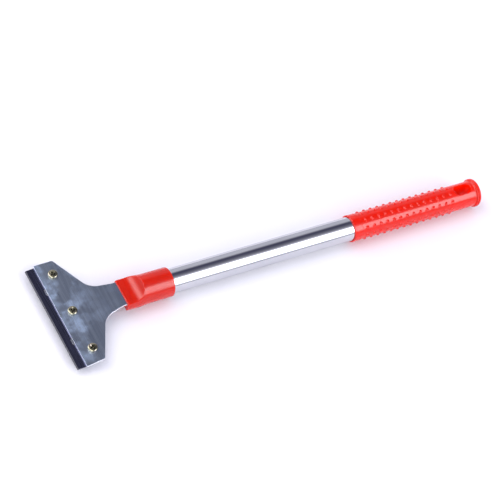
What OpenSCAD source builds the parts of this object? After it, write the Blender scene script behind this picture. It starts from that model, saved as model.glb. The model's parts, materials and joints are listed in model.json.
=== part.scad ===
// Floor scraper: a clamped 100 mm blade on a bent steel head, a plastic ferrule, a steel tube
// and a nubbed plastic grip with a hang hole.
// X runs from the blade to the grip, Z is up, and the floor is at Z = 0.

/* [Handle] */
// Outer diameter of the steel tube
tube_d = 21; // [19:0.5:22]
// Wall thickness of the steel tube
tube_wall = 0.8; // [0.6:0.1:1.5]
// Length of tube that shows between the ferrule and the grip
tube_visible = 175; // [60:5:600]

/* [Ferrule] */
// Length of the ferrule
ferrule_length = 44.5; // [40:0.5:60]
// Height of the ferrule, and its width at the tube
ferrule_d = 25; // [24.5:0.5:28]
// Extra width of the ferrule's front end
ferrule_flare = 1.6; // [1:0.2:4]
// Length of the thumb recesses along the handle
recess_length = 17.2; // [16:0.2:18]
// Distance of each recess floor from the handle axis
recess_floor = 4.3; // [4:0.1:5.5]

/* [Head] */
// Thickness of the head plate
plate_t = 1.5; // [1:0.1:1.8]
// Distance along the plate from its bend to the blade's edge
head_reach = 59.4; // [55:0.2:64]
// Downward slope of the head, in degrees
head_drop = 7.8; // [4:0.2:8.6]
// Width of the head plate along its front edge
head_width = 102; // [98:1:110]
// Width of the neck where it leaves the ferrule
neck_width = 22.8; // [18:0.2:23]

/* [Blade] */
// Length of the cutting edge
blade_length = 100; // [90:1:106]
// Depth of the blade, from one edge to the other
blade_depth = 16.8; // [15:0.2:16.8]
// Thickness of the blade
blade_t = 0.8; // [0.5:0.1:1]
// How far the blade's edge stands out in front of the head plate
blade_out = 8; // [6:0.2:9]

/* [Clamp] */
// Distance between neighbouring clamp screws
screw_spacing = 37.5; // [30:0.5:40]
// Distance of the screws behind the blade's edge
screw_back = 19.1; // [19.1:0.1:20]
// Thickness of the clamp plate
clamp_t = 1.5; // [1:0.1:2]

/* [Grip] */
// Length of the grip
grip_length = 130.5; // [120:0.5:150]
// Diameter of the grip between the nubs
grip_d = 22.7; // [22:0.1:24]
// Diameter of the flange at the end
flange_d = 25; // [25:0.5:32]
// Number of nub rings along the grip
nub_rings = 14; // [1:1:14]
// Number of nubs around the grip
nub_rows = 10; // [4:1:12]

/* [Hidden] */
$fn = 64;

// gaps: between bodies that slide on each other, between pieces of one body, and around the core
slide_gap = 0.05;
seat_gap = 0.02;
core_gap = 0.1;
eps = 0.01;

// handle axis: the ferrule's front face is at the local origin
tube_r = tube_d / 2;
tube_bore_r = tube_r - tube_wall;
ferrule_r = ferrule_d / 2;
flange_r = flange_d / 2;
grip_r = grip_d / 2;
tube_start = 18.5;
grip_start = ferrule_length + tube_visible;
grip_end = grip_start + grip_length;
tube_end = grip_end - 32;

// bend line of the head, on the underside of the plate
bend_x = -3;
bend_z = 1.95;
neck_end_x = 7;
tang_width = 16;
tang_end = 38;

// bevelled edges of the blade, and how far the sharp edge lies under the plate's underside
bevel = 1.1;
edge_t = 0.12;
edge_depth = slide_gap + blade_t - edge_t;

// M4 clamp screws and nuts
screw_r = 1.95;
screw_length = 10;
screw_head_r = 4;
screw_head_h = 2.4;
screw_hole_r = 2.2;
nut_bore_r = 2;
nut_flats = 7;
nut_h = 3.2;
screw_x = screw_back - head_reach;
clamp_top = -blade_t - 2 * slide_gap;
clamp_depth = 15.4;
clamp_width = blade_length - 1.4;
lip_depth = 1.6;

// outline of the head plate: forward distance from the bend, and half width
plate_front = head_reach - blade_out;
corner_s = 35.2;
corner_w = head_width / 2 - 0.9;
wing_slope = 2.06;
neck_slope = 0.2;
neck_fillet_r = 16;
corner_r = 2;

// two long holes in the blade
slot_length = 7;
slot_width = 3.6;
slot_spacing = 50;

// fixing screw through the ferrule, from below
fix_x = 30;
fix_r = 1.75;
fix_head_r = 3.4;
fix_top = 6;

// nubs of the grip
nub_r = 1.6;
nub_proud = 0.95;
nub_turn = 10;
nub_first = 12.6;
nub_pitch = 6.75;

// the flange, and the hang hole in front of it
flange_t = 4.6;
hang_back = 16.4;
hang_length = 17.2;
hang_width = 9.3;

// the whole object is centred over the origin, and its widest round rests on the floor
front_x = bend_x - head_reach * cos(head_drop) + edge_depth * sin(head_drop);
centre_x = (front_x + grip_end) / 2;
axis_z = max(flange_r, ferrule_r, grip_r + nub_proud);

module in_handle() {
    translate([-centre_x, 0, axis_z]) children();
}

// in the head's frame X points back along the plate, and Z = 0 is the plate's underside
module in_head() {
    in_handle() translate([bend_x, 0, bend_z]) rotate([0, -head_drop, 0]) children();
}

// a cylinder along X
module rod(x, r, h) {
    translate([x, 0, 0]) rotate([0, 90, 0]) cylinder(r = r, h = h);
}

// a revolved body about X, from a profile of [x, radius] points
module turned(profile) {
    rotate([90, 0, 90]) rotate([0, 0, -90]) rotate_extrude() polygon([for (p = profile) [p[1], p[0]]]);
}

// a plate-like slot with round ends, long along X or Y
module long_hole(length, width, h, along_x) {
    reach = (length - width) / 2;
    for (side = [-1, 1])
        translate(along_x ? [side * reach, 0, 0] : [0, side * reach, 0]) cylinder(d = width, h = h);
    size = along_x ? [2 * reach, width, h] : [width, 2 * reach, h];
    translate([-size[0] / 2, -size[1] / 2, 0]) cube(size);
}

// points of an arc from one angle to another
function arc(centre, r, from, to, steps) =
    [for (i = [0:steps]) let (a = from + (to - from) * i / steps) centre + r * [cos(a), sin(a)]];

/* Head */

function wing_w(s) = corner_w + wing_slope * (s - corner_s);
function neck_w(s) = neck_width / 2 + neck_slope * s;

// one edge of the head, from the bend to the front: forward distance along the plate, and half width
function head_edge() = let (
        wing_angle = atan(wing_slope),
        neck_angle = atan(neck_slope),
        side_slope = (head_width / 2 - corner_w) / (plate_front - corner_s),
        side_angle = atan(side_slope),
        // the concave arc between the neck and the wing, tangent to both
        meet_s = (neck_w(0) - wing_w(0)) / (wing_slope - neck_slope),
        meet = [meet_s, neck_w(meet_s)],
        fillet_cut = neck_fillet_r * tan((wing_angle - neck_angle) / 2),
        neck_end = meet - fillet_cut * [cos(neck_angle), sin(neck_angle)],
        fillet_c = neck_end + neck_fillet_r * [-sin(neck_angle), cos(neck_angle)],
        // the rounded back corner, tangent to the wing's edge and to the side edge
        corner_cut = corner_r * tan((wing_angle - side_angle) / 2),
        wing_end = [corner_s, corner_w] - corner_cut * [cos(wing_angle), sin(wing_angle)],
        corner_c = wing_end + corner_r * [sin(wing_angle), -cos(wing_angle)])
    concat([[0, neck_w(0)]],
        arc(fillet_c, neck_fillet_r, neck_angle - 90, wing_angle - 90, 12),
        arc(corner_c, corner_r, wing_angle + 90, side_angle + 90, 6),
        [[plate_front + 1, head_width / 2 + side_slope]]);

// plan view of the head and its tang
module plan_view() {
    head = [for (p = head_edge()) [bend_x - p[0] * cos(head_drop), p[1]]];
    half = concat([[tang_end, tang_width / 2], [neck_end_x, tang_width / 2],
        [neck_end_x, neck_width / 2]], head);
    other_half = [for (i = [len(half) - 1:-1:0]) [half[i][0], -half[i][1]]];
    polygon(concat(half, other_half));
}

// side view of the bent sheet, from the bend
module side_view() {
    along = [-cos(head_drop), -sin(head_drop)];
    up = [-sin(head_drop), cos(head_drop)];
    mitre = [-plate_t * tan(head_drop / 2), plate_t];
    tang = tang_end - bend_x;
    polygon([[0, 0], plate_front * along, plate_front * along + plate_t * up, mitre,
        [tang, plate_t], [tang, 0]]);
}

module screw_places() {
    for (i = [-1, 0, 1]) translate([screw_x, i * screw_spacing, 0]) children();
}

module head_plate() {
    color("lightsteelblue") difference() {
        in_handle() intersection() {
            translate([bend_x, head_width, bend_z]) rotate([90, 0, 0])
                linear_extrude(2 * head_width) side_view();
            translate([0, 0, -30]) linear_extrude(60) plan_view();
        }
        in_head() screw_places() translate([0, 0, -1]) cylinder(r = screw_hole_r, h = plate_t + 2);
        in_handle() translate([fix_x, 0, 0]) cylinder(r = fix_r + seat_gap, h = 10);
    }
}

/* Blade and clamp */

module blade() {
    profile = [[0, -blade_t], [0, -blade_t + edge_t], [bevel, 0],
        [blade_depth - bevel, 0], [blade_depth, -blade_t + edge_t], [blade_depth, -blade_t]];
    color("dimgray") in_head() translate([-head_reach, 0, -slide_gap]) difference() {
        translate([0, blade_length / 2, 0]) rotate([90, 0, 0]) linear_extrude(blade_length)
            polygon(profile);
        for (side = [-1, 1]) translate([blade_depth / 2, side * slot_spacing / 2, -2])
            long_hole(slot_length, slot_width, 4, false);
    }
}

module clamp_plate() {
    front = -plate_front + 0.4;
    color("lightsteelblue") in_head() difference() {
        union() {
            translate([front, -clamp_width / 2, clamp_top - clamp_t])
                cube([clamp_depth, clamp_width, clamp_t]);
            // the folded lip that bears on the head plate behind the screws
            translate([front + clamp_depth - lip_depth, -clamp_width / 2, clamp_top - clamp_t])
                cube([lip_depth, clamp_width, clamp_t + blade_t + slide_gap]);
        }
        screw_places() translate([0, 0, -10]) cylinder(r = screw_hole_r, h = 20);
    }
}

// an M4 pan-head screw, its head seated on the plate; the cross recess is turned to its own angle
module clamp_screw(index, recess_angle) {
    seat = plate_t + slide_gap;
    dome_r = 7;
    dome_z = seat + screw_head_h - dome_r;
    rim_h = 1.5;
    color("goldenrod") in_head() translate([screw_x, index * screw_spacing, 0]) difference() {
        union() {
            translate([0, 0, seat]) cylinder(r = screw_head_r, h = rim_h);
            intersection() {
                translate([0, 0, dome_z]) sphere(dome_r);
                translate([0, 0, seat]) cylinder(r = screw_head_r, h = screw_head_h + 1);
            }
            translate([0, 0, seat - screw_length + 0.4]) cylinder(r = screw_r, h = screw_length);
            translate([0, 0, seat - screw_length])
                cylinder(r1 = screw_r - 0.4, r2 = screw_r, h = 0.4);
        }
        for (turn = [0, 90]) translate([0, 0, seat + screw_head_h]) rotate([0, 0, recess_angle + turn])
            cube([4.2, 0.9, 3.2], center = true);
    }
}

module clamp_nut(index) {
    height = nut_h;
    corner_chamfer = 0.35;
    corner_r6 = nut_flats / 2 / cos(30);
    color("goldenrod") in_head()
        translate([screw_x, index * screw_spacing, clamp_top - clamp_t - height]) difference() {
        intersection() {
            cylinder(r = corner_r6, h = height, $fn = 6);
            union() {
                translate([0, 0, corner_chamfer]) cylinder(r = corner_r6 + 0.1, h = height);
                cylinder(r1 = corner_r6 + 0.1 - 2 * corner_chamfer, r2 = corner_r6 + 0.1,
                    h = corner_chamfer);
            }
        }
        translate([0, 0, -1]) cylinder(r = nut_bore_r, h = height + 2);
    }
}

/* Ferrule and its core */

module ferrule_body() {
    flare_end = 12;
    blend_end = 22;
    // the front end is a little wider than the tube end
    hull() {
        for (side = [-1, 1]) translate([0, side * ferrule_flare / 2, 0])
            rod(0.7, ferrule_r, flare_end - 0.7, $fn = 72);
        for (side = [-1, 1]) translate([0, side * ferrule_flare / 2, 0])
            rod(0, ferrule_r - 0.7, 1, $fn = 72);
        rod(blend_end - eps, ferrule_r, eps, $fn = 72);
    }
    turned(concat([[blend_end - eps, 0]], [[blend_end - eps, ferrule_r]],
        arc([ferrule_length - 1, ferrule_r - 1], 1, 90, 0, 6), [[ferrule_length, 0]]));
}

module ferrule() {
    slot_gap = 0.1;
    recess_r = 13;
    // the curved end of the recess reaches recess_length at the top of the ferrule
    recess_rise = recess_r - (ferrule_r - recess_floor);
    recess_x = recess_length - sqrt(recess_r ^ 2 - recess_rise ^ 2);
    color("red") in_handle() difference() {
        ferrule_body();
        rod(tube_start - seat_gap, tube_r + seat_gap, 100);
        // a thumb recess above and one below: a flat floor that curves out to the round of the socket
        for (side = [0, 1]) mirror([0, 0, side]) translate([0, 0, recess_floor]) {
            translate([-1, -30, 0]) cube([recess_x + 1, 60, 30]);
            translate([recess_x, 30, recess_r]) rotate([90, 0, 0])
                cylinder(r = recess_r, h = 60, $fn = 96);
        }
        // the slot for the neck and the tang
        translate([-1, -neck_width / 2 - slot_gap, bend_z - slot_gap])
            cube([neck_end_x + 1 + slot_gap, neck_width + 2 * slot_gap, plate_t + 2 * slot_gap]);
        translate([-1, -tang_width / 2 - slot_gap, bend_z - slot_gap])
            cube([tube_start + 2, tang_width + 2 * slot_gap, plate_t + 2 * slot_gap]);
        fixing_hole(fix_r + 0.1);
    }
}

// room for the fixing screw and its countersunk head, from below
module fixing_hole(r) {
    depth = fix_head_r - fix_r;
    translate([fix_x, 0, -ferrule_r - 1]) cylinder(r = r, h = ferrule_r + 1 + fix_top);
    translate([fix_x, 0, -ferrule_r - 1]) cylinder(r = fix_head_r + 0.1, h = 1.4);
    translate([fix_x, 0, -ferrule_r + 0.4]) cylinder(r1 = fix_head_r + 0.1, r2 = r, h = depth);
}

module tang_core() {
    color("gray") in_handle() difference() {
        rod(tube_start + 1, tube_bore_r - core_gap, ferrule_length - tube_start - 3);
        translate([0, -tang_width / 2 - seat_gap, bend_z - seat_gap])
            cube([tang_end + 0.5, tang_width + 2 * seat_gap, plate_t + 2 * seat_gap]);
        translate([fix_x, 0, -tube_r]) cylinder(r = fix_r + seat_gap, h = tube_r + fix_top + 0.5);
    }
}

module fixing_screw() {
    depth = fix_head_r - fix_r;
    color("silver") in_handle() translate([fix_x, 0, -ferrule_r + 0.4]) difference() {
        union() {
            cylinder(r1 = fix_head_r, r2 = fix_r, h = depth);
            cylinder(r = fix_r, h = ferrule_r + fix_top - 1.9);
            translate([0, 0, ferrule_r + fix_top - 1.9]) cylinder(r1 = fix_r, r2 = 0.4, h = 1.5);
        }
        for (turn = [0, 90]) rotate([0, 0, turn]) cube([3.4, 0.8, 2], center = true);
    }
}

/* Tube and grip */

module tube() {
    color("gainsboro") in_handle() difference() {
        rod(tube_start, tube_r, tube_end - tube_start);
        rod(tube_start - 1, tube_bore_r, tube_end - tube_start + 2);
        translate([fix_x, 0, -tube_r - 1]) cylinder(r = fix_r + seat_gap, h = tube_r);
    }
}

// the grip's outside from its mouth: a flared lip, a smooth collar, a step, the nubbed body
// and the rounded flange
function grip_profile() = let (
        collar_r = grip_r + 0.25,
        body_end_r = grip_r - 0.2,
        flange_start = grip_length - flange_t)
    concat([[0, 0], [0, grip_r + 0.35], [0.5, grip_r + 0.55], [2.2, collar_r], [8, collar_r],
        [8.3, grip_r], [flange_start - 0.6, body_end_r], [flange_start, body_end_r + 0.5],
        [flange_start, flange_r - 1]],
        arc([flange_start + 1, flange_r - 1], 1, 180, 90, 5),
        arc([grip_length - 2.5, flange_r - 2.5], 2.5, 90, 0, 8), [[grip_length, 0]]);

module nubs() {
    sink = nub_r - nub_proud;
    for (ring = [0:nub_rings - 1], row = [0:nub_rows - 1])
        translate([nub_first + ring * nub_pitch, 0, 0])
            rotate([nub_turn + row * 360 / nub_rows, 0, 0])
                translate([0, 0, grip_r - 0.1 - sink]) sphere(nub_r, $fn = 24);
}

module grip() {
    color("red") in_handle() translate([grip_start, 0, 0]) difference() {
        union() {
            turned(grip_profile());
            nubs();
        }
        rod(-1, tube_r + seat_gap, tube_end - grip_start + 1 + seat_gap);
        translate([grip_length - hang_back, 0, -30]) long_hole(hang_length, hang_width, 60, true);
    }
}

head_plate();
blade();
clamp_plate();
clamp_screw(-1, 20);  // screw_left
clamp_screw(0, 65);  // screw_middle
clamp_screw(1, 40);  // screw_right
clamp_nut(-1);  // nut_left
clamp_nut(0);  // nut_middle
clamp_nut(1);  // nut_right
ferrule();
tang_core();
fixing_screw();
tube();
grip();
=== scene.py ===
"""Floor scraper: the looks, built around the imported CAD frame.

Lengths are in millimetres until place() puts a piece in the row frame, in metres.
The handle frame has X along the handle's axis from the ferrule's front face, and Z up.
The sheet frame lies in the head's underside: X runs back from the bend, and Z is the plate's normal.
"""

import json
from math import acos, atan, atan2, cos, hypot, pi, radians, sin, sqrt, tan

import bmesh
import bpy
from mathutils import Matrix, Vector


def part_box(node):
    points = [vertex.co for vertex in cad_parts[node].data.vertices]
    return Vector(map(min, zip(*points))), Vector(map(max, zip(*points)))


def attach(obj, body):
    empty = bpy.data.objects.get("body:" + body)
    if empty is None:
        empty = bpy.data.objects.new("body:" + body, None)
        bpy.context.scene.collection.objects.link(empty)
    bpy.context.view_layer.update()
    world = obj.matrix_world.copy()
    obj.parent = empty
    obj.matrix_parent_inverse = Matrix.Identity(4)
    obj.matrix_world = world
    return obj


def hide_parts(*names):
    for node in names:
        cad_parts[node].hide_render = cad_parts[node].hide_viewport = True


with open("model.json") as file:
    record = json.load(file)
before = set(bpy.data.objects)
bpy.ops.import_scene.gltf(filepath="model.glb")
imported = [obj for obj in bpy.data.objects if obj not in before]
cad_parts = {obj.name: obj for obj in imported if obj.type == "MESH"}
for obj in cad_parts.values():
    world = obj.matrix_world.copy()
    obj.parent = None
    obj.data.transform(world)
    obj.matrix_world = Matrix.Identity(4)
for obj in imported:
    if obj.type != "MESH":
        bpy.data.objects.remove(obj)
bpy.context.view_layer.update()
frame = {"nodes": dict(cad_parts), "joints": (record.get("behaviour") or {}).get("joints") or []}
joints = {joint["name"]: joint for joint in frame["joints"]}

# ---------------------------------------------------------------- dimensions, in millimetres
MM = 0.001


def box_mm(node):
    """A CAD node's lowest and highest corners, in millimetres."""
    low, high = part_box(node)
    return low / MM, high / MM


ferrule_low, ferrule_high = box_mm("ferrule")
tube_low, tube_high = box_mm("tube")
grip_low, grip_high = box_mm("grip")
blade_low, blade_high = box_mm("blade")

AXIS_Z = (tube_low.z + tube_high.z) / 2
HANDLE_X = ferrule_low.x

# handle
TUBE_R = (tube_high.z - tube_low.z) / 2
TUBE_WALL = 0.8
TUBE_START = tube_low.x - HANDLE_X
TUBE_END = tube_high.x - HANDLE_X
FERRULE_L = ferrule_high.x - HANDLE_X
FERRULE_R = (ferrule_high.z - ferrule_low.z) / 2
FERRULE_FLARE = (ferrule_high.y - ferrule_low.y) / 2 - FERRULE_R
FLARE_END = 12
FLARE_BLEND = 22
LIP_R = 1.1
REAR_R = 1.0
RECESS_FLOOR = 4.3
RECESS_R = 13.0
RECESS_REACH = 17.2
RECESS_BLEND = 0.45
FERRULE_SLOT_L = 7.3
GRIP_START = grip_low.x - HANDLE_X
GRIP_L = grip_high.x - grip_low.x
GRIP_END = GRIP_START + GRIP_L
FLANGE_R = (grip_high.z - grip_low.z) / 2
FLANGE_T = 4.6
FLANGE_NECK = 0.8
GRIP_R = 11.35
GRIP_TAPER = 0.2
COLLAR_L = 8
COLLAR_PROUD = 0.25
MOUTH_R = 0.45
MOUTH_FLARE = 0.14
NUB_R = 1.6
NUB_PROUD = 0.95
NUB_TURN = radians(10)
NUB_RINGS = 14
NUB_ROWS = 10
NUB_FIRST = 12.6
NUB_PITCH = 6.75
NUB_MARGIN = 2
HOLE_BACK = 16.4
HOLE_L = 17.2
HOLE_W = 9.3
HOLE_RIM_R = 0.5

# head
BEND_X = -3
BEND_Z = 1.95
BEND_REACH = 0.6
HEAD_DROP = acos(joints["screw_middle_turn"]["axis"][2])
HEAD_REACH = 59.4
HEAD_FRONT = BEND_X - HEAD_REACH * cos(HEAD_DROP)
PLATE_T = 1.5
PLATE_FRONT = 51.4
HALF_WIDTH = 51
CORNER_S = 35.2
CORNER_W = 50.1
CORNER_R = 2
FRONT_CORNER_R = 0.5
WING_SLOPE = 2.06
NECK_HALF = 11.4
NECK_SLOPE = 0.2
NECK_FILLET_R = 16
NECK_BACK = 10
TANG_HALF = 8
TANG_BACK = 41
FIX_BACK = 33
FIX_R = 1.8
FIX_HEAD_R = 3.5
SCREW_S = 40.3
SCREW_SPACING = 37.5
SCREW_HOLE_R = 2.2
SLIDE_GAP = 0.05

# blade and clamp
BLADE_L = blade_high.y - blade_low.y
BLADE_DEPTH = 16.8
BLADE_T = 0.8
BLADE_BEVEL = 1.1
BLADE_EDGE_T = 0.12
SLOT_L = 7.0
SLOT_W = 3.6
SLOT_Y = 25
CLAMP_T = 1.5
CLAMP_L = 98.6
CLAMP_DEPTH = 15.4
CLAMP_LIP = 1.6
CLAMP_FRONT_GAP = 0.4

# M4 screws and nuts
SCREW_R = 1.95
SCREW_L = 10
SCREW_HEAD_R = 4
SCREW_HEAD_H = 2.4
THREAD_PITCH = 0.7
THREAD_DEPTH = 0.35
NUT_FLATS = 7
NUT_H = 3.2
NUT_BORE_R = 2.0

HANDLE = Matrix.Scale(MM, 4) @ Matrix.Translation((HANDLE_X, 0, AXIS_Z))
BEND = HANDLE @ Matrix.Translation((BEND_X, 0, BEND_Z))
SHEET = BEND @ Matrix.Rotation(-HEAD_DROP, 4, "Y")


# ---------------------------------------------------------------- small helpers
def arc(centre, radius, start, end, steps):
    """Points of an arc, from one angle in radians to another."""
    angles = [start + (end - start) * i / steps for i in range(steps + 1)]
    return [(centre[0] + radius * cos(a), centre[1] + radius * sin(a)) for a in angles]


def smooth_step(x):
    x = min(max(x, 0.0), 1.0)
    return x * x * (3 - 2 * x)


def smooth_min(a, b, blend):
    """The smaller of a and b, rounded over the blend distance."""
    h = max(blend - abs(a - b), 0.0) / blend
    return min(a, b) - h * h * blend / 4


def quarter_inset(distance, radius):
    """How far a rounded edge stands back, at a distance from the end that it rounds."""
    if distance >= radius:
        return 0.0
    return radius - sqrt(max(radius**2 - (radius - distance) ** 2, 0.0))


def spaced(start, end, step):
    """Numbers from start up to end, about step apart; a falling range gives only its two ends."""
    count = max(1, round((end - start) / step))
    return [start + (end - start) * i / count for i in range(count + 1)]


def ring(x, radius_at, count):
    """A ring about the handle's axis: angle 0 is up, and it turns towards -Y."""
    points = []
    for i in range(count):
        angle = 2 * pi * i / count
        radius = radius_at(angle)
        points.append((x, -radius * sin(angle), radius * cos(angle)))
    return points


def turned(profile, count):
    """Round rings about the handle's axis, through (X, radius) points."""
    return [ring(x, lambda angle, radius=radius: radius, count) for x, radius in profile]


def skin(name, rings, closed=False):
    """A mesh through rings of equal length, capped at both ends, or closed on itself."""
    count = len(rings[0])
    points = [point for points in rings for point in points]
    faces = []
    pairs = [(k, k + 1) for k in range(len(rings) - 1)]
    if closed:
        pairs.append((len(rings) - 1, 0))
    for a, b in pairs:
        for i in range(count):
            j = (i + 1) % count
            faces.append((a * count + i, a * count + j, b * count + j, b * count + i))
    if not closed:
        last = (len(rings) - 1) * count
        faces.append(tuple(range(count - 1, -1, -1)))
        faces.append(tuple(range(last, last + count)))
    mesh = bpy.data.meshes.new(name)
    mesh.from_pydata(points, [], faces)
    outward(mesh)
    return mesh


def outward(mesh):
    """Turns every face of a closed mesh outwards."""
    work = bmesh.new()
    work.from_mesh(mesh)
    bmesh.ops.recalc_face_normals(work, faces=work.faces)
    work.to_mesh(mesh)
    work.free()


def add_object(name, mesh):
    piece = bpy.data.objects.new(name, mesh)
    bpy.context.scene.collection.objects.link(piece)
    return piece


def apply_modifiers(piece):
    """Replaces a piece's mesh by what its modifiers make of it."""
    graph = bpy.context.evaluated_depsgraph_get()
    mesh = bpy.data.meshes.new_from_object(piece.evaluated_get(graph))
    piece.modifiers.clear()
    piece.data = mesh


def cut(piece, cutters):
    """Takes closed meshes away from a piece."""
    for mesh in cutters:
        cutter = add_object("cutter", mesh)
        modifier = piece.modifiers.new("cut", "BOOLEAN")
        modifier.operation = "DIFFERENCE"
        modifier.solver = "EXACT"
        modifier.object = cutter
        apply_modifiers(piece)
        bpy.data.objects.remove(cutter)


def rounded(piece, width, segments=2, angle=30):
    """Rounds a piece's edges that are sharper than the angle."""
    modifier = piece.modifiers.new("rounding", "BEVEL")
    modifier.width = width
    modifier.segments = segments
    modifier.limit_method = "ANGLE"
    modifier.angle_limit = radians(angle)
    apply_modifiers(piece)


def place(piece, matrix, body, material, nodes, sharp=40):
    """Puts a piece in the row frame, on its body, with its material, in place of CAD nodes."""
    mesh = piece.data
    mesh.transform(matrix)
    mesh.materials.clear()
    mesh.materials.append(material)
    mesh.shade_smooth()
    mesh.set_sharp_from_angle(angle=radians(sharp))
    flatter = piece.modifiers.new("flatter", "WEIGHTED_NORMAL")
    flatter.keep_sharp = True
    apply_modifiers(piece)
    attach(piece, body)
    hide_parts(*nodes)
    return piece


def sheet_mesh(name, outlines, thickness, edge):
    """A flat sheet from its outline and holes, with rounded edges, from Z = 0 to its thickness."""
    curve = bpy.data.curves.new(name, "CURVE")
    curve.dimensions = "2D"
    curve.fill_mode = "BOTH"
    curve.extrude = thickness / 2 - edge
    curve.bevel_depth = edge
    curve.bevel_resolution = 2
    curve.offset = -edge
    for outline in outlines:
        spline = curve.splines.new("POLY")
        spline.points.add(len(outline) - 1)
        for point, (x, y) in zip(spline.points, outline):
            point.co = (x, y, 0, 1)
        spline.use_cyclic_u = True
    shape = add_object(name, curve)
    graph = bpy.context.evaluated_depsgraph_get()
    mesh = bpy.data.meshes.new_from_object(shape.evaluated_get(graph))
    bpy.data.objects.remove(shape)
    mesh.transform(Matrix.Translation((0, 0, thickness / 2)))
    work = bmesh.new()
    work.from_mesh(mesh)
    bmesh.ops.remove_doubles(work, verts=work.verts, dist=1e-4)
    bmesh.ops.recalc_face_normals(work, faces=work.faces)
    work.to_mesh(mesh)
    work.free()
    return mesh


def add_cuts(mesh, places):
    """Adds lines of vertices across a mesh at these X positions."""
    work = bmesh.new()
    work.from_mesh(mesh)
    for x in places:
        everything = work.verts[:] + work.edges[:] + work.faces[:]
        bmesh.ops.bisect_plane(work, geom=everything, plane_co=(x, 0, 0), plane_no=(1, 0, 0))
    work.to_mesh(mesh)
    work.free()


def circle(x, y, radius, steps=40):
    return arc((x, y), radius, 0, 2 * pi, steps)[:-1]


def long_hole(x, y, length, width, along_x, steps=16):
    """Outline of a hole with round ends."""
    reach = (length - width) / 2
    start = -pi / 2 if along_x else 0
    offset = (reach, 0) if along_x else (0, reach)
    first = arc((x + offset[0], y + offset[1]), width / 2, start, start + pi, steps)
    second = arc((x - offset[0], y - offset[1]), width / 2, start + pi, start + 2 * pi, steps)
    return first + second


def prism(name, outline, low, high):
    """A closed upright prism of an outline."""
    return skin(name, [[(x, y, z) for x, y in outline] for z in (low, high)])


# ---------------------------------------------------------------- materials
def feed(tree, socket, value):
    """Links a socket to another one, or gives it a value."""
    if isinstance(value, bpy.types.NodeSocket):
        tree.links.new(value, socket)
    else:
        socket.default_value = value


def set_stops(ramp, stops):
    """Gives a colour ramp its (position, colour) stops."""
    elements = ramp.color_ramp.elements
    while len(elements) < len(stops):
        elements.new(0.5)
    for element, (position, colour) in zip(elements, stops):
        element.position = position
        element.color = (*colour, 1)


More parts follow.
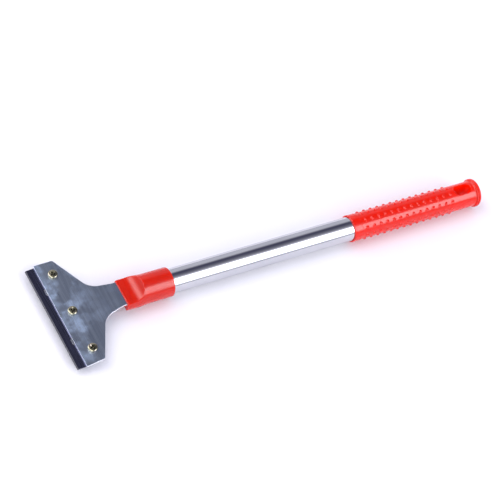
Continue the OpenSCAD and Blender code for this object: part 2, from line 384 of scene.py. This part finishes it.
class Nodes:
    """Short calls for building a material's nodes."""

    def __init__(self, name):
        self.material = bpy.data.materials.new(name)
        self.material.use_nodes = True
        self.tree = self.material.node_tree
        self.shader = self.tree.nodes["Principled BSDF"]
        self.place = self.add("ShaderNodeTexCoord").outputs["Object"]

    def add(self, kind, **values):
        node = self.tree.nodes.new(kind)
        for key, value in values.items():
            setattr(node, key, value)
        return node

    def link(self, source, target):
        self.tree.links.new(source, target)

    def stretched(self, scale, turn=0.0):
        """The object's coordinates, scaled by axis and turned about Y."""
        mapping = self.add("ShaderNodeMapping", vector_type="TEXTURE")
        mapping.inputs["Rotation"].default_value = (0, turn, 0)
        mapping.inputs["Scale"].default_value = [1 / s for s in scale]
        self.link(self.place, mapping.inputs["Vector"])
        return mapping.outputs["Vector"]

    def noise(self, vector, scale=1.0, detail=3.0, roughness=0.5):
        node = self.add("ShaderNodeTexNoise")
        node.inputs["Scale"].default_value = scale
        node.inputs["Detail"].default_value = detail
        node.inputs["Roughness"].default_value = roughness
        self.link(vector, node.inputs["Vector"])
        return node.outputs["Fac"]

    def along(self):
        """The distance along the handle from the ferrule's front, in millimetres."""
        parts = self.add("ShaderNodeSeparateXYZ")
        self.link(self.place, parts.inputs[0])
        return self.span(parts.outputs["X"], HANDLE_X * MM, (HANDLE_X + 1) * MM, clamp=False)

    def from_axis(self):
        """The distance from the handle's axis, in millimetres."""
        across = self.add("ShaderNodeVectorMath", operation="MULTIPLY")
        across.inputs[1].default_value = (0, 1, 1)
        self.link(self.place, across.inputs[0])
        apart = self.add("ShaderNodeVectorMath", operation="DISTANCE")
        apart.inputs[1].default_value = (0, 0, AXIS_Z * MM)
        self.link(across.outputs[0], apart.inputs[0])
        return self.sum(apart.outputs["Value"], 1 / MM, "MULTIPLY")

    def upright(self):
        """1 on the cut edges of a level sheet, 0 on its faces."""
        parts = self.add("ShaderNodeSeparateXYZ")
        self.link(self.add("ShaderNodeTexCoord").outputs["Normal"], parts.inputs[0])
        return self.span(self.sum(parts.outputs["Z"], 0.0, "ABSOLUTE"), 0.8, 0.5)

    def ramp(self, factor, stops):
        """A colour ramp through (position, colour) stops."""
        node = self.add("ShaderNodeValToRGB")
        set_stops(node, stops)
        self.link(factor, node.inputs["Fac"])
        return node.outputs["Color"]

    def span(self, factor, low, high, to_low=0.0, to_high=1.0, clamp=True):
        """Maps a range of a value to another range."""
        node = self.add("ShaderNodeMapRange", clamp=clamp)
        limits = {"From Min": low, "From Max": high, "To Min": to_low, "To Max": to_high}
        for key, value in limits.items():
            node.inputs[key].default_value = value
        self.link(factor, node.inputs["Value"])
        return node.outputs["Result"]

    def mix(self, factor, a, b):
        """Mixes two colours by a socket; each is a socket or three numbers."""
        node = self.add("ShaderNodeMix", data_type="RGBA")
        self.link(factor, node.inputs[0])
        for socket, colour in ((node.inputs[6], a), (node.inputs[7], b)):
            feed(self.tree, socket, colour if isinstance(colour, bpy.types.NodeSocket) else (*colour, 1))
        return node.outputs[2]

    def sum(self, a, b, operation="ADD"):
        """Adds two values, or joins them by another operation; each is a socket or a number."""
        node = self.add("ShaderNodeMath", operation=operation)
        for socket, value in zip(node.inputs, (a, b)):
            feed(self.tree, socket, value)
        return node.outputs[0]

    def bump(self, height, distance, strength=1.0):
        node = self.add("ShaderNodeBump")
        node.inputs["Strength"].default_value = strength
        node.inputs["Distance"].default_value = distance
        self.link(height, node.inputs["Height"])
        self.link(node.outputs["Normal"], self.shader.inputs["Normal"])

    def set(self, **values):
        """Sets or links the shader's inputs; an underscore in a key stands for a space."""
        for key, value in values.items():
            feed(self.tree, self.shader.inputs[key.replace("_", " ")], value)


def red_plastic():
    """Glossy moulded plastic: darker and mottled on the ferrule, with painted light making the hang hole's
    walls brighter.
    """
    m = Nodes("red_plastic")
    broad = m.noise(m.place, 60, 2)
    fine = m.noise(m.place, 900, 3)
    on_ferrule = m.span(m.along(), GRIP_START, FERRULE_L)
    colour = m.mix(on_ferrule, (0.69, 0.008, 0.0006), (0.50, 0.009, 0.001))
    colour = m.mix(m.span(broad, 0.35, 0.65, 0.0, 0.3), colour, (0.58, 0.012, 0.001))
    # painted light: a brighter red on the hang hole's walls stands in for the glow of light inside the hole
    below_skin = m.span(m.from_axis(), GRIP_R - 0.45, GRIP_R - 0.75)
    behind_mouth = m.span(m.along(), GRIP_START, GRIP_START + 1)
    before_end = m.span(m.along(), GRIP_END - 1, GRIP_END - 1.5)
    painted_glow_hole_wall = m.sum(m.sum(below_skin, behind_mouth, "MULTIPLY"), before_end, "MULTIPLY")
    colour = m.mix(painted_glow_hole_wall, colour, (0.97, 0.012, 0.001))
    m.set(Base_Color=colour, IOR=1.45)
    m.set(Subsurface_Weight=0.3, Subsurface_Radius=(1.0, 0.08, 0.04), Subsurface_Scale=0.006)
    mottle = m.span(m.noise(m.place, 420, 3, 0.6), 0.35, 0.65, 0.05, 0.17)
    m.set(Roughness=m.sum(m.span(fine, 0.3, 0.7, 0.05, 0.10), m.sum(mottle, on_ferrule, "MULTIPLY")))
    m.bump(m.noise(m.place, 420, 2), 0.00004, 0.55)
    return m.material


def zinc_plate():
    """Bright zinc on rolled sheet: cloudy patches, mostly near the front, over fine lines."""
    m = Nodes("zinc_plate")
    lines = m.noise(m.stretched((2600, 45, 2600), HEAD_DROP), 1, 4, 0.6)
    wide_lines = m.noise(m.stretched((420, 16, 420), HEAD_DROP), 1, 3, 0.6)
    clouds = m.noise(m.place, 150, 5, 0.65)
    near_front = m.span(m.along(), HEAD_FRONT + 42, HEAD_FRONT + 20, 0.25, 1.0)
    patch = m.sum(m.span(m.noise(m.place, 62, 3, 0.6), 0.46, 0.60), near_front, "MULTIPLY")
    patch = m.sum(patch, m.span(clouds, 0.32, 0.60, 0.15, 0.9), "MULTIPLY")
    dark = m.ramp(wide_lines, [(0.35, (0.33, 0.39, 0.51)), (0.65, (0.46, 0.53, 0.65))])
    colour = m.mix(patch, dark, (0.56, 0.70, 0.95))
    colour = m.mix(m.span(lines, 0.40, 0.68, 0.0, 0.5), colour, (0.24, 0.26, 0.35))
    # the cut edges are near-white: partly bare steel, partly a painted highlight along the rims
    colour = m.mix(m.upright(), colour, (0.93, 0.94, 0.97))
    m.set(Base_Color=colour, Metallic=1.0)
    m.set(Roughness=m.sum(m.span(patch, 0, 1, 0.31, 0.43), m.span(lines, 0.3, 0.7, -0.04, 0.05)))
    m.bump(lines, 0.00002, 0.5)
    return m.material


def blade_steel():
    """Dark ground steel with fine lines along the edge, and a painted dark reflection that makes the bevel
    near-black.
    """
    m = Nodes("blade_steel")
    lines = m.noise(m.stretched((3500, 22, 3500), HEAD_DROP), 1, 4, 0.65)
    stains = m.noise(m.place, 130, 3, 0.6)
    colour = m.ramp(lines, [(0.32, (0.07, 0.073, 0.125)), (0.68, (0.105, 0.108, 0.18))])
    colour = m.mix(m.span(stains, 0.45, 0.75, 0.0, 0.3), colour, (0.10, 0.10, 0.14))
    bevel_end = HEAD_FRONT + BLADE_BEVEL
    # painted dark reflection: the bevel is coloured near-black, standing in for the dark it reflects
    painted_dark_bevel = m.span(m.along(), bevel_end + 0.1, bevel_end - 0.1)
    colour = m.mix(painted_dark_bevel, colour, (0.05, 0.05, 0.06))
    m.set(Base_Color=colour, Metallic=1.0)
    m.set(Roughness=m.span(lines, 0.3, 0.7, 0.24, 0.34))
    m.bump(lines, 0.00002, 0.6)
    return m.material


def yellow_zinc():
    """Yellow passivated zinc, from olive to gold to faint pink, with painted shade darkening its corners
    and recesses.
    """
    m = Nodes("yellow_zinc")
    drift = m.noise(m.place, 330, 2, 0.5)
    colour = m.ramp(drift, [
        (0.30, (0.27, 0.27, 0.18)), (0.46, (0.36, 0.34, 0.24)),
        (0.58, (0.44, 0.40, 0.30)), (0.70, (0.44, 0.37, 0.34))])
    # painted shade: ambient occlusion darkens the colour in the cross recess and the corners
    painted_recess_shade = m.add("ShaderNodeAmbientOcclusion")
    painted_recess_shade.inputs["Distance"].default_value = 0.0012
    colour = m.mix(m.span(painted_recess_shade.outputs["AO"], 0.85, 0.45), colour, (0.02, 0.018, 0.012))
    m.set(Base_Color=colour, Metallic=1.0)
    m.set(Roughness=m.span(m.noise(m.place, 1500, 2), 0.3, 0.7, 0.16, 0.28))
    return m.material


def polished_tube():
    """Polished steel tube with faint drawing lines along it."""
    m = Nodes("polished_tube")
    lines = m.noise(m.stretched((9, 1400, 1400)), 1, 3, 0.6)
    smudges = m.noise(m.stretched((25, 60, 60)), 1, 3, 0.5)
    colour = m.ramp(smudges, [(0.35, (0.57, 0.57, 0.61)), (0.65, (0.64, 0.64, 0.67))])
    m.set(Base_Color=colour, Metallic=1.0)
    m.set(Roughness=m.span(m.sum(lines, smudges), 0.8, 1.2, 0.05, 0.11))
    m.bump(lines, 0.000008, 0.3)
    return m.material


def grey_plastic():
    """Matt moulded plastic of the plug inside the tube."""
    m = Nodes("grey_plastic")
    grain = m.noise(m.place, 1200, 3)
    m.set(Base_Color=m.ramp(grain, [(0.3, (0.10, 0.10, 0.105)), (0.7, (0.14, 0.14, 0.145))]))
    m.set(Roughness=m.span(grain, 0.3, 0.7, 0.55, 0.7))
    m.bump(grain, 0.00003, 0.4)
    return m.material


def plain_steel():
    """Zinc-plated steel of the fixing screw."""
    m = Nodes("plain_steel")
    drift = m.noise(m.place, 600, 3)
    m.set(Base_Color=m.ramp(drift, [(0.3, (0.50, 0.52, 0.56)), (0.7, (0.68, 0.70, 0.74))]))
    m.set(Metallic=1.0, Roughness=m.span(drift, 0.3, 0.7, 0.25, 0.4))
    return m.material


RED = red_plastic()
ZINC = zinc_plate()
BLADE = blade_steel()
YELLOW = yellow_zinc()
CHROME = polished_tube()
GREY = grey_plastic()
STEEL = plain_steel()


# ---------------------------------------------------------------- head
def bent(point):
    """Where a point of the flat sheet goes when the sheet is bent: X is back, Z is height."""
    x, y, z = point
    reach = BEND_REACH
    head_dir = Vector((cos(HEAD_DROP), sin(HEAD_DROP)))
    if x >= reach:
        spot, up = Vector((x, 0)), Vector((0, 1))
    elif x <= -reach:
        spot, up = x * head_dir, Vector((-head_dir.y, head_dir.x))
    else:
        t = (reach - x) / (2 * reach)
        start, end = Vector((reach, 0)), -reach * head_dir
        spot = (1 - t) ** 2 * start + t**2 * end
        along = (-2 * (1 - t) * start + 2 * t * end).normalized()
        up = Vector((along.y, -along.x))
    return (spot.x + z * up.x, y, spot.y + z * up.y)


def head_edge():
    """One edge of the head from the bend to the front: distance forward, and half width."""
    wing, neck = atan(WING_SLOPE), atan(NECK_SLOPE)
    side = atan2(HALF_WIDTH - CORNER_W, PLATE_FRONT - CORNER_S)
    meet_s = (NECK_HALF - CORNER_W + WING_SLOPE * CORNER_S) / (WING_SLOPE - NECK_SLOPE)
    meet = Vector((meet_s, NECK_HALF + NECK_SLOPE * meet_s))
    fillet_end = meet - NECK_FILLET_R * tan((wing - neck) / 2) * Vector((cos(neck), sin(neck)))
    fillet = fillet_end + NECK_FILLET_R * Vector((-sin(neck), cos(neck)))
    along_wing = Vector((cos(wing), sin(wing)))
    wing_end = Vector((CORNER_S, CORNER_W)) - CORNER_R * tan((wing - side) / 2) * along_wing
    corner = wing_end + CORNER_R * Vector((sin(wing), -cos(wing)))
    front = (PLATE_FRONT - FRONT_CORNER_R, HALF_WIDTH - FRONT_CORNER_R)
    return (
        [(0, NECK_HALF)]
        + arc(fillet, NECK_FILLET_R, neck - pi / 2, wing - pi / 2, 20)
        + arc(corner, CORNER_R, wing + pi / 2, side + pi / 2, 10)
        + arc(front, FRONT_CORNER_R, pi / 2, 0, 5)
    )


def head_sheet():
    """The head plate with its neck and tang, cut flat and then bent."""
    half = [(TANG_BACK, TANG_HALF - 2), (TANG_BACK - 2, TANG_HALF), (NECK_BACK, TANG_HALF)]
    half += [(NECK_BACK, NECK_HALF)] + [(-forward, width) for forward, width in head_edge()]
    outline = half + [(x, -y) for x, y in reversed(half)]
    holes = [circle(-SCREW_S, i * SCREW_SPACING, SCREW_HOLE_R) for i in (-1, 0, 1)]
    holes.append(circle(FIX_BACK, 0, FIX_R))
    mesh = sheet_mesh("head_sheet", [outline] + holes, PLATE_T, edge=0.15)
    add_cuts(mesh, spaced(-BEND_REACH, BEND_REACH, 0.2))
    for vertex in mesh.vertices:
        vertex.co = bent(vertex.co)
    place(add_object("head_sheet", mesh), BEND, "handle", ZINC, ["head_plate"])


def blade_strip():
    """The blade, with both long edges ground to a bevel."""
    front, half = -HEAD_REACH, BLADE_L / 2
    back = front + BLADE_DEPTH
    outline = [(front, -half), (back, -half), (back, half), (front, half)]
    middle = (front + back) / 2
    holes = [long_hole(middle, side * SLOT_Y, SLOT_L, SLOT_W, along_x=False) for side in (-1, 1)]
    mesh = sheet_mesh("blade_strip", [outline] + holes, BLADE_T, edge=0.02)
    add_cuts(mesh, [front + BLADE_BEVEL, back - BLADE_BEVEL])
    for vertex in mesh.vertices:
        from_edge = min(vertex.co.x - front, back - vertex.co.x)
        if from_edge < BLADE_BEVEL - 1e-3:
            share = 1 - from_edge / BLADE_BEVEL
            vertex.co.z *= 1 - share * (1 - BLADE_EDGE_T / BLADE_T)
    mesh.transform(Matrix.Translation((0, 0, -BLADE_T - SLIDE_GAP)))
    place(add_object("blade_strip", mesh), SHEET, "blade", BLADE, ["blade"], sharp=12)


def clamp_bar():
    """The plate under the blade, with its back edge folded up onto the head."""
    top = -BLADE_T - 2 * SLIDE_GAP
    bottom = top - CLAMP_T
    front = -PLATE_FRONT + CLAMP_FRONT_GAP
    back = front + CLAMP_DEPTH
    fold_r, toe = 1.1, 0.4
    side = [(front, bottom + toe), (front + toe, bottom)]
    side += arc((back - fold_r, bottom + fold_r), fold_r, -pi / 2, 0, 6)
    side += [(back, -SLIDE_GAP), (back - CLAMP_LIP, -SLIDE_GAP), (back - CLAMP_LIP, top), (front, top)]
    rings = [[(x, y, z) for x, z in side] for y in (-CLAMP_L / 2, CLAMP_L / 2)]
    piece = add_object("clamp_bar", skin("clamp_bar", rings))
    holes = [circle(-SCREW_S, i * SCREW_SPACING, SCREW_HOLE_R) for i in (-1, 0, 1)]
    cut(piece, [prism("hole", hole, -10, 10) for hole in holes])
    rounded(piece, 0.15)
    place(piece, SHEET, "clamp", ZINC, ["clamp_plate"])


def upright_ring(radius_at, z, count):
    """A ring about the Z axis."""
    angles = [2 * pi * i / count for i in range(count)]
    return [(radius_at(a) * cos(a), radius_at(a) * sin(a), z) for a in angles]


def screw_mesh(name, recess_angle):
    """An M4 pan-head screw, seated at Z = 0, with a cross recess and a tapered shank without a thread."""
    count = 48
    base_r, rim_h, shoulder_r = 0.25, 1.2, 0.9
    rim = [(SCREW_HEAD_R - base_r, 0), (SCREW_HEAD_R, base_r), (SCREW_HEAD_R, rim_h)]
    shoulder = arc((SCREW_HEAD_R - shoulder_r, rim_h), shoulder_r, 0, radians(80), 8)
    edge_r, edge_z = shoulder[-1]
    crown = SCREW_HEAD_H - edge_z
    dome = [(edge_r * (1 - t), edge_z + crown * (1 - (1 - t) ** 2)) for t in (0.25, 0.5, 0.75, 0.98)]
    rings = [upright_ring(lambda a, r=r: r, z, count) for r, z in reversed(rim + shoulder + dome)]
    rings.append(upright_ring(lambda a: SCREW_R, 0, count))
    # the shank is two rings, each off round as a cut across a thread is, with no thread between them
    tip_l, tip_inset = 0.7, 0.45
    for z in (-0.4, -SCREW_L + 0.05):
        full = smooth_step((z + SCREW_L) / tip_l)

        def radius_at(a, z=z, full=full):
            phase = (z / THREAD_PITCH + a / (2 * pi)) % 1
            return SCREW_R - THREAD_DEPTH * abs(2 * phase - 1) * full - tip_inset * (1 - full)

        rings.append(upright_ring(radius_at, z, count))
    piece = add_object(name, skin(name, rings))
    cross = []
    for quarter in range(4):
        for x, y in ((2.5, -0.6), (2.5, 0.6), (0.85, 0.6)):
            turn = recess_angle + quarter * pi / 2
            cross.append((x * cos(turn) - y * sin(turn), x * sin(turn) + y * cos(turn)))
    levels = ((0.35, 0.55), (1.0, SCREW_HEAD_H - 0.15), (1.06, SCREW_HEAD_H + 0.6))
    cut(piece, [skin("recess", [[(x * s, y * s, z) for x, y in cross] for s, z in levels])])
    rounded(piece, 0.05, 1, 50)
    return piece


def clamp_screws():
    """The three screws, each stopped at its own angle."""
    for side, name, angle in ((-1, "screw_left", 20), (0, "screw_middle", 65), (1, "screw_right", 40)):
        spot = Matrix.Translation((-SCREW_S, side * SCREW_SPACING, PLATE_T + SLIDE_GAP))
        piece = screw_mesh("pan_" + name, radians(angle))
        place(piece, SHEET @ spot, name, YELLOW, [name])


def nut_mesh(name):
    """A hexagon nut with chamfered corners and a chamfered bore, from Z = -NUT_H to 0."""
    count = 96
    across_corners = NUT_FLATS / 2 / cos(pi / 6)

    def hexagon(limit):
        def radius_at(a):
            return min(NUT_FLATS / 2 / cos((a + pi / 6) % (pi / 3) - pi / 6), limit)
        return radius_at

    chamfer = across_corners - NUT_FLATS / 2 + 0.1
    levels = [0.0, 0.12, 0.24, 0.36, 0.5]
    outer = [(z, NUT_FLATS / 2 - 0.1 + chamfer * z / levels[-1]) for z in levels]
    profile = [(-NUT_H + z, limit) for z, limit in outer] + [(-z, limit) for z, limit in reversed(outer)]
    rings = [upright_ring(hexagon(limit), z, count) for z, limit in profile]
    mouth = 0.3
    bore = [(0, NUT_BORE_R + mouth), (-mouth, NUT_BORE_R)]
    bore += [(-NUT_H + mouth, NUT_BORE_R), (-NUT_H, NUT_BORE_R + mouth)]
    rings += [upright_ring(lambda a, r=r: r, z, count) for z, r in bore]
    return add_object(name, skin(name, rings, closed=True))


def clamp_nuts():
    """The three nuts, held against the clamp plate."""
    top = -BLADE_T - 2 * SLIDE_GAP - CLAMP_T
    for side, name in ((-1, "nut_left"), (0, "nut_middle"), (1, "nut_right")):
        spot = Matrix.Translation((-SCREW_S, side * SCREW_SPACING, top))
        place(nut_mesh("hex_" + name), SHEET @ spot, "clamp", YELLOW, [name], sharp=25)


# ---------------------------------------------------------------- handle
def ferrule_radius(x, angle):
    """The ferrule's outside at a place along it: a flared round, less its two thumb recesses."""
    inset = quarter_inset(x, LIP_R) + quarter_inset(FERRULE_L - x, REAR_R)
    flare = FERRULE_FLARE * (1 - smooth_step((x - FLARE_END) / (FLARE_BLEND - FLARE_END)))
    across, up = abs(sin(angle)), cos(angle)
    radius = flare * across + sqrt(FERRULE_R**2 - (flare * up) ** 2)
    if radius * across < flare:
        radius = FERRULE_R / abs(up)
    radius -= inset
    rise = RECESS_R - (FERRULE_R - RECESS_FLOOR)
    start = RECESS_REACH - sqrt(RECESS_R**2 - rise**2)
    if abs(up) < 0.05 or x > start + RECESS_R - 0.01:
        return radius
    height = RECESS_FLOOR - inset
    if x > start:
        height += RECESS_R - sqrt(RECESS_R**2 - (x - start) ** 2)
    return smooth_min(radius, height / abs(up), RECESS_BLEND)


def slot_ring(x, outer, half_width, half_height, centre_z):
    """The outline of the plate's slot, one point towards each point of the ring outside it."""
    points = []
    for _, y, z in outer:
        rise = z - centre_z
        share = 1 / max(abs(y) / half_width, abs(rise) / half_height)
        points.append((x, y * share, centre_z + rise * share))
    return points


def ferrule_shell():
    """The ferrule, hollow from the plate's slot at its front to the tube's bore at its rear."""
    count = 192
    recess_end = RECESS_REACH + 1
    spots = [LIP_R * (1 - cos(pi / 2 * i / 5)) for i in range(6)]
    spots += spaced(LIP_R, recess_end, 0.14)[1:] + spaced(recess_end, FERRULE_L - REAR_R, 0.8)[1:]
    spots += [FERRULE_L - REAR_R * (1 - sin(pi / 2 * i / 6)) for i in range(1, 7)]
    rings = [ring(x, lambda a, x=x: ferrule_radius(x, a), count) for x in spots]
    slot = (NECK_HALF + 0.08, PLATE_T / 2 + 0.06, BEND_Z + PLATE_T / 2)
    front = [slot_ring(x, rings[0], *slot) for x in (FERRULE_SLOT_L, 0.0)]
    bore_r, mouth = TUBE_R + 0.05, 0.25
    bore = [(FERRULE_L, bore_r + mouth), (FERRULE_L - mouth, bore_r), (TUBE_START - 0.05, bore_r)]
    piece = add_object("ferrule_shell", skin("ferrule_shell", front + rings + turned(bore, count)))
    well = circle(BEND_X + FIX_BACK, 0, FIX_HEAD_R)
    cut(piece, [prism("well", well, -FERRULE_R - 1, -FERRULE_R + 0.4)])
    place(piece, HANDLE, "handle", RED, ["ferrule"], sharp=50)


def tube_shell():
    """The hollow tube, with its cut ends slightly chamfered."""
    inner, edge = TUBE_R - TUBE_WALL, 0.2
    profile = [(TUBE_START, inner + edge), (TUBE_START, TUBE_R - edge)]
    profile += [(x, TUBE_R) for x in spaced(TUBE_START + edge, TUBE_END - edge, 10)]
    profile += [(TUBE_END, TUBE_R - edge), (TUBE_END, inner + edge)]
    profile += [(TUBE_END - edge, inner), (TUBE_START + edge, inner)]
    piece = add_object("tube_shell", skin("tube_shell", turned(profile, 128), closed=True))
    place(piece, HANDLE, "handle", CHROME, ["tube"])


def grip_base(x):
    """The grip's outside without its nubs, from its mouth: lip, collar, step, body and flange."""
    step_l, flange_rise = 0.5, 0.5
    neck_start = GRIP_L - FLANGE_T - FLANGE_NECK
    radius = GRIP_R - GRIP_TAPER * max(0.0, x - COLLAR_L) / (GRIP_L - COLLAR_L)
    radius += COLLAR_PROUD * (1 - smooth_step((x - COLLAR_L + step_l / 2) / step_l))
    radius += MOUTH_FLARE * smooth_step((2.6 - x) / 2.0) - quarter_inset(x, MOUTH_R)
    if x > neck_start:
        radius += flange_rise * smooth_step((x - neck_start) / FLANGE_NECK)
    return radius


def flange_profile():
    """The flange's rounded outline, from its front face over a shallow groove to the grip's end."""
    start = GRIP_L - FLANGE_T
    front_r, end_r = 1.0, 2.2
    groove = start + 2 * front_r
    return (
        [(start, FLANGE_R - front_r - 0.4)]
        + arc((start + front_r, FLANGE_R - front_r), front_r, pi, pi / 5, 10)
        + [(groove, FLANGE_R - 0.6), (groove + 0.2, FLANGE_R - 0.15)]
        + arc((GRIP_L - end_r, FLANGE_R - end_r), end_r, pi / 2, 0, 12)
        + [(GRIP_L, FLANGE_R - end_r - 2), (GRIP_L, 4), (GRIP_L, 0.5)]
    )


def nub_height(x, angle):
    """How far the surface stands out at a place, over the nearest nub."""
    k = round((x - NUB_FIRST) / NUB_PITCH)
    if k < 0 or k >= NUB_RINGS:
        return 0.0
    step = 2 * pi / NUB_ROWS
    off = (angle - NUB_TURN + step / 2) % step - step / 2
    apart = hypot(x - NUB_FIRST - k * NUB_PITCH, off * GRIP_R)
    if apart >= NUB_R:
        return 0.0
    cap = sqrt(NUB_R**2 - apart**2) - (NUB_R - NUB_PROUD)
    return max(cap, 0.0)


def hole_inset(x, y):
    """The rounding of the hang hole's rim."""
    reach = (HOLE_L - HOLE_W) / 2
    dx = max(abs(x - (GRIP_L - HOLE_BACK)) - reach, 0.0)
    return quarter_inset(max(hypot(dx, y) - HOLE_W / 2, 0.0), HOLE_RIM_R)


def grip_sleeve():
    """The grip, with its nubs, its flange and the hang hole, over the tube's end."""
    count = 240
    step_start, step_end = COLLAR_L - 0.5, COLLAR_L + 0.5
    nub_start = NUB_FIRST - NUB_MARGIN
    nub_end = NUB_FIRST + (NUB_RINGS - 1) * NUB_PITCH + NUB_MARGIN
    hole_start = GRIP_L - HOLE_BACK - HOLE_L / 2 - 1
    flange_start = GRIP_L - FLANGE_T
    neck_start = flange_start - FLANGE_NECK
    spots = [MOUTH_R * (1 - cos(pi / 2 * i / 4)) for i in range(5)]
    for start, end, step in (
            (MOUTH_R, step_start, 0.7), (step_start, step_end, 0.12), (step_end, nub_start, 0.8),
            (nub_start, nub_end, 0.27), (nub_end, hole_start, 0.8), (hole_start, neck_start, 0.3),
            (neck_start, flange_start, 0.16)):
        spots += spaced(start, end, step)[1:]
    spots.pop()  # the flange's own outline begins here

    def radius_at(x):
        base = grip_base(x)
        return lambda angle: base + nub_height(x, angle) - hole_inset(x, base * sin(angle))

    bore_r, mouth = TUBE_R + 0.03, 0.3
    bore = [(TUBE_END - GRIP_START + 0.03, bore_r), (mouth, bore_r), (0, bore_r + mouth)]
    rings = turned([(GRIP_START + x, radius) for x, radius in bore], count)
    rings += [ring(GRIP_START + x, radius_at(x), count) for x in spots]
    rings += turned([(GRIP_START + x, radius) for x, radius in flange_profile()], count)
    piece = add_object("grip_sleeve", skin("grip_sleeve", rings))
    hole = long_hole(GRIP_END - HOLE_BACK, 0, HOLE_L, HOLE_W, along_x=True, steps=24)
    cut(piece, [prism("hole", hole, -20, 20)])
    place(piece, HANDLE, "handle", RED, ["grip"], sharp=50)


head_sheet()
blade_strip()
clamp_bar()
clamp_screws()
clamp_nuts()
ferrule_shell()
tube_shell()
grip_sleeve()
for node, material in (("tang_core", GREY), ("fixing_screw", STEEL)):
    mesh = frame["nodes"][node].data
    mesh.materials.clear()
    mesh.materials.append(material)


# ---------------------------------------------------------------- stage, light and camera
def floor():
    """A plain pale floor, far wider than the tool."""
    m = Nodes("floor")
    grain = m.noise(m.place, 3, 2)
    m.set(Base_Color=m.ramp(grain, [(0.3, (0.90, 0.90, 0.91)), (0.7, (0.92, 0.92, 0.93))]))
    m.set(Roughness=0.9, Specular_IOR_Level=0.1)
    mesh = bpy.data.meshes.new("floor")
    half = 4.0
    corners = [(-half, -half, 0), (half, -half, 0), (half, half, 0), (-half, half, 0)]
    mesh.from_pydata(corners, [], [(0, 1, 2, 3)])
    mesh.materials.append(m.material)
    add_object("floor", mesh)


FILL = (0.79, 0.78, 0.93, 1)
GLOW = 3.6


def studio():
    """A studio around the tool: pale beyond it, dark overhead, with a soft box and a glow.

    The room's and the box's light follow the angle about the handle's axis: 0 is overhead, and
    positive is the near side. The box lies towards the grip, and the glow lies ahead of the blade.
    """
    world = bpy.data.worlds.new("studio")
    bpy.context.scene.world = world
    world.use_nodes = True
    tree = world.node_tree

    def node(kind, inputs=(), **values):
        made = tree.nodes.new(kind)
        for key, value in values.items():
            setattr(made, key, value)
        for name, value in inputs:
            feed(tree, made.inputs[name], value)
        return made

    def times(a, b):
        return node("ShaderNodeMath", [(0, a), (1, b)], operation="MULTIPLY").outputs[0]

    def plus(a, b):
        return node("ShaderNodeVectorMath", [(0, a), (1, b)], operation="ADD").outputs[0]

    towards = node("ShaderNodeTexCoord").outputs["Generated"]
    parts = node("ShaderNodeSeparateXYZ", [(0, towards)])
    near = times(parts.outputs["Y"], -1.0)
    angle = node("ShaderNodeMath", [(0, near), (1, parts.outputs["Z"])], operation="ARCTAN2")
    share = node("ShaderNodeMapRange", [("Value", angle.outputs[0]), ("From Min", -pi), ("From Max", pi)])

    def ramp(stops):
        """Light by angle in degrees, each stop slightly blue."""
        made = node("ShaderNodeValToRGB", [("Fac", share.outputs["Result"])])
        set_stops(made, [
            (0.5 + degrees / 360, (light * 0.95, light * 0.96, light + 0.025)) for degrees, light in stops])
        return made.outputs["Color"]

    def fade(low, high, light=1.0):
        """Light that grows from nothing between two values of the direction's X."""
        made = node("ShaderNodeMapRange", [
            ("Value", parts.outputs["X"]), ("From Min", low), ("From Max", high), ("To Max", light)],
            interpolation_type="SMOOTHSTEP")
        return made.outputs["Result"]

    room = ramp([
        (-90, 0.75), (-48, 0.74), (-40, 0.45), (-32, 0.14), (-24, 0.085), (-12, 0.13), (0, 0.24),
        (10, 0.42), (20, 0.55), (60, 0.55), (90, 0.58)])
    box = ramp([
        (8, 0.0), (17, 0.35), (24, 1.6), (30, 7.0), (62, 7.0), (70, 4.6), (76, 1.4), (80, 0.5),
        (84, 0.1), (88, 0.0)])
    window = times(fade(0.18, 0.34), fade(0.74, 0.56))
    lit = node("ShaderNodeVectorMath", [(0, box), ("Scale", window)], operation="SCALE")
    glow = times(fade(-0.25, -0.50, GLOW), fade(-0.86, -0.66))
    bright = plus(plus(room, lit.outputs[0]), glow)
    # a ray that comes off a matt surface meets an even, slightly violet fill; all others meet the studio
    matt = node("ShaderNodeLightPath").outputs["Is Diffuse Ray"]
    seen = node("ShaderNodeMix", [(0, matt), (6, bright), (7, FILL)], data_type="RGBA")
    tree.links.new(seen.outputs[2], tree.nodes["Background"].inputs["Color"])


def key_light():
    """The main light: broad and soft, from high up, ahead of the blade and on the far side."""
    light = bpy.data.lights.new("key", "SUN")
    light.energy = 0.72
    light.angle = radians(40)
    lamp = bpy.data.objects.new("key", light)
    bpy.context.scene.collection.objects.link(lamp)
    lamp.rotation_euler = Vector((-0.50, 0.25, 0.83)).to_track_quat("Z", "Y").to_euler()


def camera():
    """A long lens, above the near side and ahead of the blade, rolled about its line of sight."""
    azimuth, elevation, roll = radians(-45.65), radians(50.85), radians(22.17)
    distance = 2.0838
    target = HANDLE @ Vector((126.09, 7.11, 0))
    back = Vector((sin(azimuth) * cos(elevation), -cos(azimuth) * cos(elevation), sin(elevation)))
    right = Vector((cos(azimuth), sin(azimuth), 0))
    up = back.cross(right)
    side = cos(roll) * right + sin(roll) * up
    top = -sin(roll) * right + cos(roll) * up
    data = bpy.data.cameras.new("camera")
    data.sensor_width = 36
    data.lens = 180.3
    eye = bpy.data.objects.new("camera", data)
    bpy.context.scene.collection.objects.link(eye)
    turn = Matrix((side, top, back)).transposed().to_4x4()
    eye.matrix_world = Matrix.Translation(target + back * distance) @ turn
    bpy.context.scene.camera = eye


floor()
studio()
key_light()
camera()
bpy.context.scene.view_settings.view_transform = "Standard"
